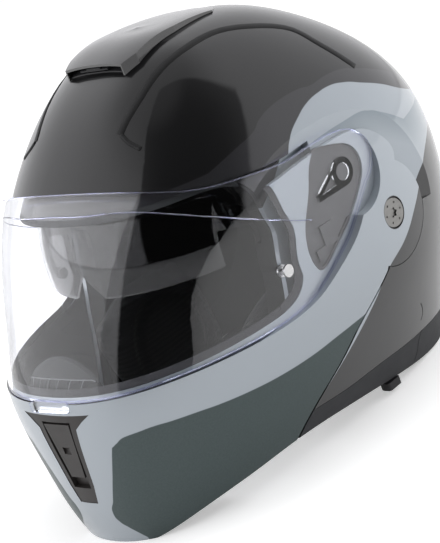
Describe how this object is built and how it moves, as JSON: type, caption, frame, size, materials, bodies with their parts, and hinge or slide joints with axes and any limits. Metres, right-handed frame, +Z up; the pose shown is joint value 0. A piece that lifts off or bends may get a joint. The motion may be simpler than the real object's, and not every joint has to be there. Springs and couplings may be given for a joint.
{
  "type": "modular motorcycle helmet",
  "caption": "Full-face modular motorcycle helmet with a flip-up chin bar, a clear visor, a drop-down sun visor, sliding vents, lining pads and a buckled chin strap.",
  "frame": {"origin": "centre of the resting footprint box, on the plane that the rim and chin stand on", "axes": "+Z up, the face looks toward -Y, the wearer's left is +X"},
  "size_m": [0.2334, 0.3368, 0.27],
  "materials": {
    "shell_paint": "gloss",
    "edge_trim": "matte",
    "foam": "matte",
    "lining_fabric": "woven",
    "seal_rubber": "matte",
    "gloss_black": "gloss",
    "black_plastic": "matte",
    "red_plastic": "satin",
    "metal": "satin",
    "dark_metal": "anodised",
    "pin_metal": "satin",
    "webbing": "woven",
    "clear_visor": "clear",
    "clear_plastic": "clear",
    "smoke_visor": "smoke"
  },
  "bodies": {
    "helmet": {"outer_shell": "shell_paint", "shell_edge_trim": "edge_trim", "impact_liner_crown": "foam", "impact_liner_left": "foam", "impact_liner_right": "foam", "crown_pad": "lining_fabric", "cheek_pad_left": "lining_fabric", "cheek_pad_right": "lining_fabric", "neck_roll": "lining_fabric", "brow_gasket": "seal_rubber", "crown_vent_hood": "gloss_black", "crown_vent_base": "black_plastic", "rear_exhaust_vent": "black_plastic", "sun_visor_axles": "metal", "pivot_plate_left": "metal", "pivot_plate_right": "metal", "pivot_screw_left": "dark_metal", "pivot_screw_right": "dark_metal", "latch_striker_left": "metal", "latch_striker_right": "metal", "strap_anchor_left": "metal", "strap_anchor_right": "metal", "chin_strap_left": "webbing", "chin_strap_right": "webbing", "buckle_body": "black_plastic", "strap_tongue": "black_plastic"},
    "chin_bar": {"chin_bar_shell": "shell_paint", "chin_bar_liner": "lining_fabric", "chin_bar_gasket": "seal_rubber", "chin_vent_frame": "black_plastic", "breath_deflector": "seal_rubber", "chin_curtain": "lining_fabric", "release_housing": "black_plastic", "pivot_bush_left": "black_plastic", "pivot_bush_right": "black_plastic", "visor_mechanism_left": "black_plastic", "visor_mechanism_right": "black_plastic", "latch_bracket_left": "metal", "latch_bracket_right": "metal"},
    "visor": {"visor_shield": "clear_visor", "anti_fog_pins": "pin_metal", "visor_hinge_left": "clear_plastic", "visor_hinge_right": "clear_plastic"},
    "sun_visor": {"sun_visor": "smoke_visor"},
    "sun_visor_slider": {"sun_visor_slider": "black_plastic"},
    "crown_shutter": {"crown_vent_shutter": "black_plastic"},
    "chin_vent_slider": {"chin_vent_slider": "black_plastic"},
    "release_button": {"release_button": "red_plastic"},
    "latch_hook_left": {"latch_hook_left": "metal"},
    "latch_hook_right": {"latch_hook_right": "metal"},
    "buckle_lever": {"buckle_lever": "red_plastic"}
  },
  "joints": [
    {"name": "chin_bar_hinge", "type": "hinge", "parent": "helmet", "child": "chin_bar", "pos_m": [0, 0.047, 0.116], "axis": [-1, 0, 0], "range_deg": [0, 60]},
    {"name": "visor_hinge", "type": "hinge", "parent": "chin_bar", "child": "visor", "pos_m": [0, 0.023, 0.156], "axis": [-1, 0, 0], "range_deg": [0, 48]},
    {"name": "sun_visor_hinge", "type": "hinge", "parent": "helmet", "child": "sun_visor", "pos_m": [0, -0.002, 0.14], "axis": [-1, 0, 0], "range_deg": [0, 36]},
    {"name": "sun_visor_slide", "type": "slide", "parent": "helmet", "child": "sun_visor_slider", "axis": [0, -1, 0], "range_m": [0, 0.0181]},
    {"name": "crown_vent_slide", "type": "slide", "parent": "helmet", "child": "crown_shutter", "axis": [0, 0.9578, 0.2874], "range_m": [0, 0.009]},
    {"name": "chin_vent_slide", "type": "slide", "parent": "chin_bar", "child": "chin_vent_slider", "axis": [0, 0, -1], "range_m": [0, 0.006]},
    {"name": "release_press", "type": "slide", "parent": "chin_bar", "child": "release_button", "axis": [0, 0, 1], "range_m": [0, 0.003], "stiffness_N_per_m": 300},
    {"name": "latch_left_hinge", "type": "hinge", "parent": "chin_bar", "child": "latch_hook_left", "pos_m": [0.078, -0.096, 0.052], "axis": [-1, 0, 0], "range_deg": [0, 12.2]},
    {"name": "latch_right_hinge", "type": "hinge", "parent": "chin_bar", "child": "latch_hook_right", "pos_m": [-0.078, -0.096, 0.052], "axis": [-1, 0, 0], "range_deg": [0, 12.2]},
    {"name": "buckle_lever_hinge", "type": "hinge", "parent": "helmet", "child": "buckle_lever", "pos_m": [0.02, 0.042, 0.013], "axis": [0, 1, 0], "range_deg": [0, 45], "stiffness_Nm_per_rad": 0.02}
  ],
  "couplings": [
    {"joint": "sun_visor_slide", "follows": "sun_visor_hinge", "m_per_rad": 0.02865},
    {"joint": "latch_left_hinge", "follows": "release_press", "rad_per_m": 69.8},
    {"joint": "latch_right_hinge", "follows": "release_press", "rad_per_m": 69.8}
  ]
}
